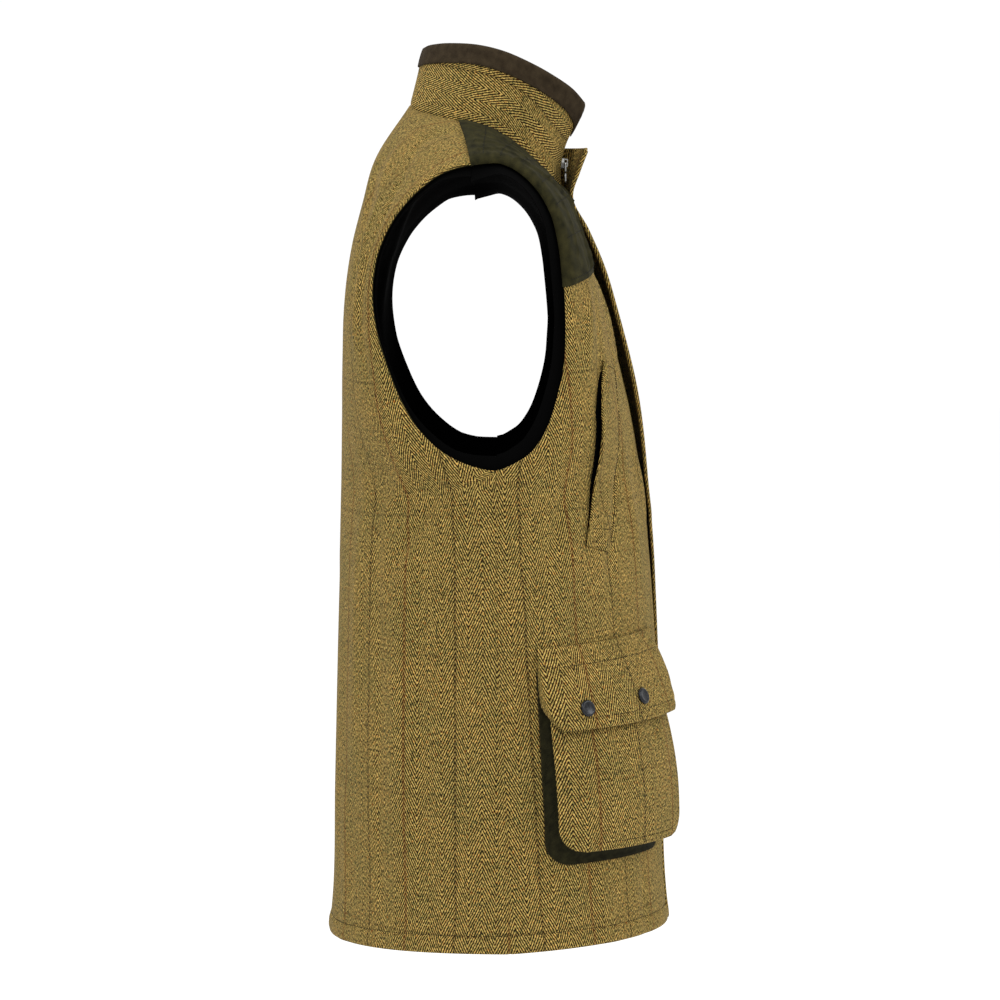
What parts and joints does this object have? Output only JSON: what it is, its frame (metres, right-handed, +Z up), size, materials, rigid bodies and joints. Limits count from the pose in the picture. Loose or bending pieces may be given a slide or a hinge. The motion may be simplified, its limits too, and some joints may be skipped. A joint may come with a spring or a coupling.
{
  "type": "shooting vest",
  "caption": "Sleeveless zip-front tweed shooting vest with stand collar, shoulder patches and flapped bellows pockets, filled out as worn.",
  "frame": {"origin": "middle of the neck base between the shoulders, where the wearer's shoulders carry the vest", "axes": "+Z up, the front faces -Y, the wearer's right side is at -X"},
  "size_m": [0.4266, 0.3202, 0.8111],
  "materials": {
    "tweed": "herringbone wool tweed",
    "moleskin": "dark green brushed cotton",
    "suede_brown": "olive brown brushed cloth",
    "lining": "black satin lining",
    "tape": "woven zip tape",
    "gunmetal": "gunmetal plated",
    "nickel": "bright nickel plated"
  },
  "bodies": {
    "vest": {"armhole_facing_left": "moleskin", "armhole_facing_right": "moleskin", "back": "tweed", "cargo_pocket_face_left": "tweed", "cargo_pocket_face_right": "tweed", "cargo_pocket_flap_left": "tweed", "cargo_pocket_flap_right": "tweed", "cargo_pocket_gusset_left": "moleskin", "cargo_pocket_gusset_right": "moleskin", "collar": "tweed", "collar_binding": "suede_brown", "front_left": "tweed", "front_right": "tweed", "hand_pocket_welt_left": "tweed", "hand_pocket_welt_right": "tweed", "lining_back": "lining", "lining_front_left": "lining", "lining_front_right": "lining", "press_stud_1": "gunmetal", "press_stud_2": "gunmetal", "press_stud_3": "gunmetal", "press_stud_4": "gunmetal", "shoulder_patch_left": "moleskin", "shoulder_patch_right": "moleskin", "storm_flap": "tweed", "zip_slider": "nickel", "zip_tape_left": "tape", "zip_tape_right": "tape"},
    "pull": {"zip_pull": "nickel"}
  },
  "joints": [
    {"name": "pull_swing", "type": "hinge", "parent": "vest", "child": "pull", "pos_m": [0, -0.0601, -0.03865], "axis": [-1, 0, 0], "range_deg": [0, 10]}
  ]
}
